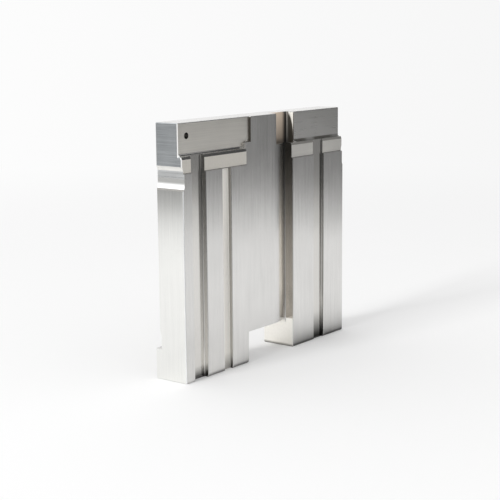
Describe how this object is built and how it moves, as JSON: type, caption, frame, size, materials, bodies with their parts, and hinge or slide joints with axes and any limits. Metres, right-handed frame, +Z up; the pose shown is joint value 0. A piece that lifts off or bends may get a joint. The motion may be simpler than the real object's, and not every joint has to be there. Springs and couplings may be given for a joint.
{
  "type": "mould core block",
  "caption": "Upright steel core block with stepped front ribs and grooves, upper seats, side latch grooves, a heel and a window between its feet.",
  "frame": {"origin": "middle of the base, at mid width and at the middle of the thickness with the heel", "axes": "+X along the width towards the fifth rib, +Y from the ribbed front to the plain back, +Z up from the feet"},
  "size_m": [0.065, 0.0094, 0.06],
  "materials": {
    "ground_tool_steel": "surface ground, fine grain upwards on the ribs and across on the upper seats"
  },
  "bodies": {
    "root": {"core_block": "ground_tool_steel"}
  },
  "joints": []
}
